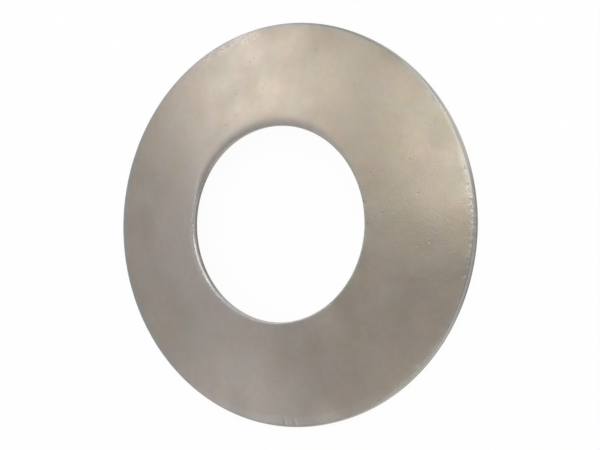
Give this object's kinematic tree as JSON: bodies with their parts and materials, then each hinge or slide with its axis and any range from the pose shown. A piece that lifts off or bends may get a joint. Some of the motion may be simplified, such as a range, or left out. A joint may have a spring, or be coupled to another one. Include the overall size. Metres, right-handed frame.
{
  "type": "coned friction washer",
  "caption": "Dished ring of satin spring steel with a wide central bore; squeezed flat by a bolt, it presses on its neighbour so that friction carries the load until it slips.",
  "frame": {"origin": "on the bore axis, level with the lowest edge of the rim, on which the washer lies", "axes": "+Z along the bore axis, up towards the domed side and the raised bore edge; the washer is a body of revolution, so +X and +Y are any two directions square to it"},
  "size_m": [0.05, 0.05, 0.0033],
  "materials": {
    "spring_steel": "warm grey satin spring steel, faintly clouded, with fine pits and rolled edges"
  },
  "bodies": {
    "root": {"washer": "spring_steel"}
  },
  "joints": []
}
